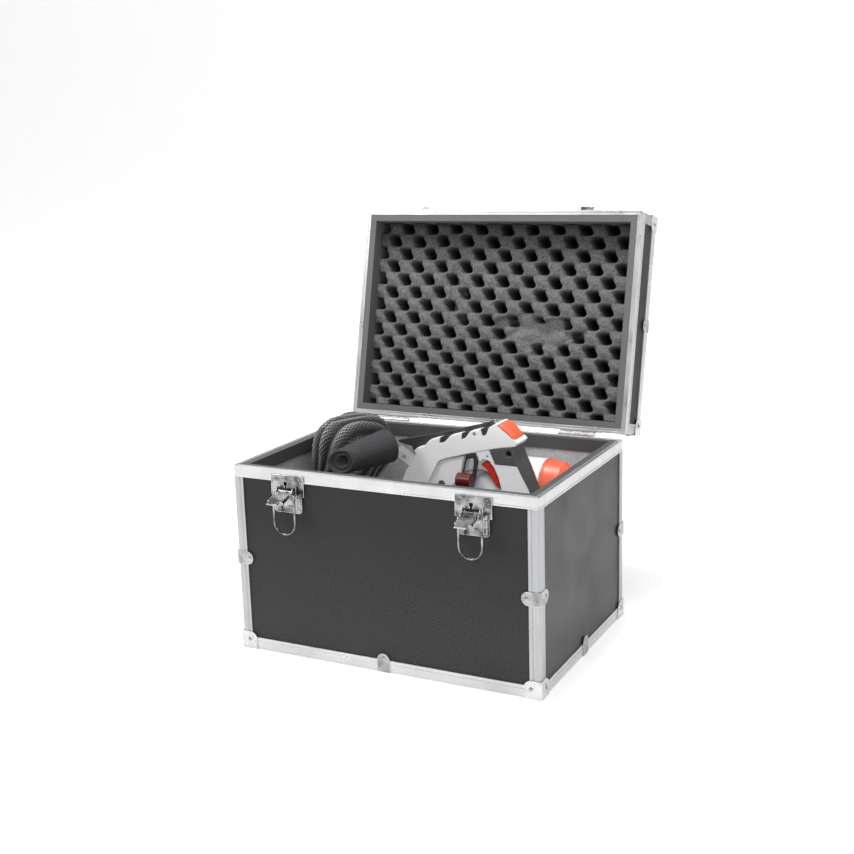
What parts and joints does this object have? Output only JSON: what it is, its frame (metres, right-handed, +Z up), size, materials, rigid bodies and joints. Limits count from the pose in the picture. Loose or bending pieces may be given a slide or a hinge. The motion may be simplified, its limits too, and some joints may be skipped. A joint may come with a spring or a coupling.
{
  "type": "nail gun kit in carrying case",
  "caption": "Open aluminium-framed carrying case with a foam-lined lid, holding a magazine-fed nail gun, a capped canister, a rolled sleeve and a mesh bag.",
  "frame": {"origin": "centre of the case's footprint, on the surface the case stands on", "axes": "+X right along the case front, -Y the latch side, +Y the hinge side, +Z up"},
  "size_m": [0.4662, 0.5231, 0.6],
  "materials": {
    "laminate_front": "fine diagonal emboss, satin",
    "laminate_side": "fine emboss, satin",
    "rail_aluminium": "satin extruded",
    "post_aluminium": "satin extruded",
    "liner_plastic": "matte",
    "border_grey": "matte",
    "bracket_steel": "satin",
    "felt_grey": "short felt",
    "foam_black": "open-cell foam",
    "steel_fittings": "nickel-plated pressed steel, dark plating with bright worn edges",
    "cap_steel": "nickel-plated pressed steel, bright",
    "clip_steel": "nickel-plated pressed steel",
    "rubber_black": "matte",
    "shell_grey": "moulded, lightly textured",
    "frame_dark": "matte",
    "grip_grey": "soft-touch",
    "pad_orange": "textured",
    "trigger_red": "satin",
    "wheel_red": "knurled",
    "tool_steel": "machined",
    "silver_housing": "silver paint",
    "canister_white": "white enamel",
    "cap_orange": "satin",
    "sleeve_dark": "rolled foam-backed cloth",
    "mesh_black": "woven mesh"
  },
  "bodies": {
    "case": {"front_board": "laminate_front", "back_board": "laminate_front", "side_board_left": "laminate_side", "side_board_right": "laminate_side", "base_board": "laminate_front", "base_rails": "rail_aluminium", "corner_posts": "post_aluminium", "rim_rail": "rail_aluminium", "rim_liner": "liner_plastic", "felt_lining": "felt_grey", "foam_bed": "foam_black", "corner_caps": "cap_steel", "edge_clips": "clip_steel", "case_rivets": "steel_fittings", "rubber_feet": "rubber_black", "latch_plates": "steel_fittings", "hinge_leaves_case": "cap_steel", "hinge_pins": "tool_steel", "mesh_bag": "mesh_black"},
    "lid": {"lid_top_board": "laminate_front", "lid_wall_boards": "laminate_front", "lid_rim_rail": "rail_aluminium", "lid_top_rails": "rail_aluminium", "lid_posts": "post_aluminium", "lid_border": "border_grey", "lid_foam": "foam_black", "lid_corner_caps": "cap_steel", "lid_edge_clips": "clip_steel", "lid_rivets": "steel_fittings", "keeper_plates": "steel_fittings", "hinge_leaves_lid": "cap_steel"},
    "latch_lever_left": {"latch_lever_left": "steel_fittings"},
    "latch_lever_right": {"latch_lever_right": "steel_fittings"},
    "bail_left": {"bail_left": "steel_fittings"},
    "bail_right": {"bail_right": "steel_fittings"},
    "gun": {"shell_near": "shell_grey", "shell_far": "shell_grey", "inner_frame": "frame_dark", "magazine": "frame_dark", "nail_strip": "tool_steel", "pusher_spring": "tool_steel", "grip_rubber": "grip_grey", "end_pad": "pad_orange", "barrel": "tool_steel", "buffer_ring": "rubber_black", "breech_dome": "silver_housing", "nose_guide": "tool_steel", "guide_bracket": "bracket_steel", "probe_spring": "tool_steel", "depth_wheel": "wheel_red", "trip_rod": "frame_dark", "shell_screws": "tool_steel"},
    "pusher": {"magazine_pusher": "tool_steel"},
    "piston": {"piston": "tool_steel"},
    "rear_cap": {"rear_cap": "frame_dark"},
    "probe": {"contact_probe": "tool_steel"},
    "trigger": {"trigger": "trigger_red"},
    "canister": {"canister": "canister_white"},
    "canister_cap": {"canister_cap": "cap_orange"},
    "sleeve": {"rolled_sleeve": "sleeve_dark"}
  },
  "joints": [
    {"name": "lid_hinge", "type": "hinge", "parent": "case", "child": "lid", "pos_m": [0, 0.1696, 0.2712], "axis": [-1, 0, 0], "range_deg": [-103.5, 0]},
    {"name": "lever_left_hinge", "type": "hinge", "parent": "case", "child": "latch_lever_left", "pos_m": [-0.14, -0.171, 0.244], "axis": [1, 0, 0], "range_deg": [-30, 72]},
    {"name": "lever_right_hinge", "type": "hinge", "parent": "case", "child": "latch_lever_right", "pos_m": [0.14, -0.171, 0.244], "axis": [1, 0, 0], "range_deg": [-30, 72]},
    {"name": "bail_left_hinge", "type": "hinge", "parent": "case", "child": "bail_left", "pos_m": [-0.14, -0.176, 0.24], "axis": [-1, 0, 0], "range_deg": [0, 172]},
    {"name": "bail_right_hinge", "type": "hinge", "parent": "case", "child": "bail_right", "pos_m": [0.14, -0.176, 0.24], "axis": [-1, 0, 0], "range_deg": [0, 172]},
    {"name": "gun_lift", "type": "slide", "parent": "case", "child": "gun", "axis": [0, 0, 1], "range_m": [0, 0.3]},
    {"name": "pusher_slide", "type": "slide", "parent": "gun", "child": "pusher", "axis": [0.9563, 0, 0.2924], "range_m": [0, 0.055], "stiffness_N_per_m": 60, "springref_m": -0.04, "deforming": ["pusher_spring"]},
    {"name": "piston_stroke", "type": "slide", "parent": "gun", "child": "piston", "axis": [-1, 0, 0], "range_m": [0, 0.07]},
    {"name": "rear_cap_turn", "type": "hinge", "parent": "gun", "child": "rear_cap", "pos_m": [0.16, 0.013, 0.197], "axis": [1, 0, 0], "continuous": true},
    {"name": "probe_slide", "type": "slide", "parent": "gun", "child": "probe", "axis": [1, 0, 0], "range_m": [0, 0.007], "stiffness_N_per_m": 500, "springref_m": -0.01, "deforming": ["probe_spring"]},
    {"name": "trigger_pull", "type": "hinge", "parent": "gun", "child": "trigger", "pos_m": [0.088, 0.013, 0.273], "axis": [0, -1, 0], "range_deg": [0, 6], "stiffness_Nm_per_rad": 0.4, "springref_deg": -11.46},
    {"name": "canister_lift", "type": "slide", "parent": "case", "child": "canister", "axis": [0, 0, 1], "range_m": [0, 0.3]},
    {"name": "canister_cap_turn", "type": "hinge", "parent": "canister", "child": "canister_cap", "pos_m": [0.153, 0.075, 0.2173], "axis": [1, 0, 0], "continuous": true},
    {"name": "sleeve_lift", "type": "slide", "parent": "case", "child": "sleeve", "axis": [0, 0, 1], "range_m": [0, 0.3]}
  ]
}
